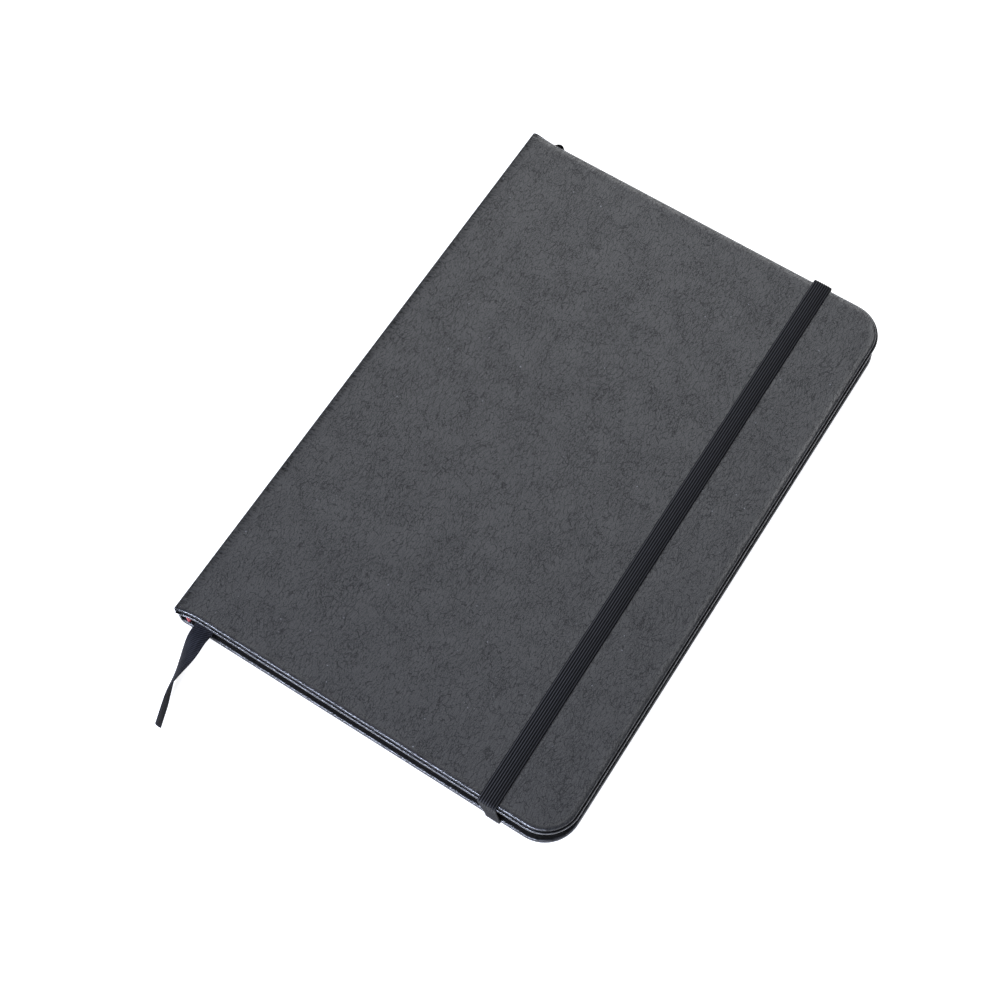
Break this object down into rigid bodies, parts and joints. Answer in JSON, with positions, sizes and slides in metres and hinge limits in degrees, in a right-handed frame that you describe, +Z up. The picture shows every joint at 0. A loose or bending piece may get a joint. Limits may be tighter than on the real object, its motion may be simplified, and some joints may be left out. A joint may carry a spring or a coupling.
{
  "type": "sketchbook",
  "caption": "Closed hardcover sketchbook in padded black leatherette with rounded fore corners, a sewn text block, a flat elastic closure and a satin ribbon marker.",
  "frame": {"origin": "under the middle of the closed cover, on the outer face of the back cover, which the book lies on", "axes": "+X from the spine to the fore edge, +Y from the tail to the head of the pages, +Z up from the back cover to the front cover"},
  "size_m": [0.141, 0.2438, 0.0147],
  "materials": {
    "leatherette": "satin, fine grain with soft creases",
    "greyboard": "matte",
    "endpaper": "matte",
    "drawing_paper": "matte",
    "bookcloth": "open weave",
    "red_band": "ribbed silk",
    "linen_thread": "waxed",
    "satin_ribbon": "satin with a diagonal sheen",
    "elastic_weave": "ribbed, matte"
  },
  "bodies": {
    "book": {"cover_leather_back": "leatherette", "spine_leather": "leatherette", "back_board": "greyboard", "back_pastedown": "endpaper", "spine_liner": "greyboard", "mull": "bookcloth", "headband": "red_band", "tailband": "red_band", "sewing_thread_1": "linen_thread", "sewing_thread_2": "linen_thread", "sewing_thread_3": "linen_thread", "sewing_thread_4": "linen_thread", "signature_2": "drawing_paper", "signature_3": "drawing_paper", "signature_4": "drawing_paper", "signature_5": "drawing_paper", "signature_6": "drawing_paper", "signature_7": "drawing_paper", "signature_8": "drawing_paper", "back_flyleaf": "endpaper", "ribbon_inner": "satin_ribbon", "ribbon_head_loop": "satin_ribbon", "ribbon_tail": "satin_ribbon", "elastic_back_head": "elastic_weave", "elastic_back_tail": "elastic_weave"},
    "front_cover": {"cover_leather_front": "leatherette", "front_board": "greyboard", "front_pastedown": "endpaper"},
    "flyleaf": {"front_flyleaf": "endpaper"},
    "first_signature": {"signature_1": "drawing_paper"},
    "elastic": {"elastic_front_strand": "elastic_weave", "elastic_head_leg": "elastic_weave", "elastic_tail_leg": "elastic_weave"}
  },
  "joints": [
    {"name": "front_cover_hinge", "type": "hinge", "parent": "book", "child": "front_cover", "pos_m": [-0.07065, 0, 0.01085], "axis": [0, -1, 0], "range_deg": [0, 183]},
    {"name": "flyleaf_turn", "type": "hinge", "parent": "book", "child": "flyleaf", "pos_m": [-0.0681, 0, 0.01086], "axis": [0, -1, 0], "range_deg": [0, 183]},
    {"name": "signature_1_turn", "type": "hinge", "parent": "book", "child": "first_signature", "pos_m": [-0.0681, 0, 0.01086], "axis": [0, -1, 0], "range_deg": [0, 182.8]},
    {"name": "elastic_release", "type": "slide", "parent": "book", "child": "elastic", "axis": [0, 0, -1], "range_m": [0, 0.0148], "deforming": ["elastic_head_leg", "elastic_tail_leg", "elastic_front_strand"]}
  ],
  "couplings": [
    {"joint": "flyleaf_turn", "follows": "front_cover_hinge", "ratio": 0.999},
    {"joint": "signature_1_turn", "follows": "front_cover_hinge", "ratio": 0.998},
    {"joint": "elastic_release", "follows": "front_cover_hinge", "m_per_rad": 0.00462}
  ]
}
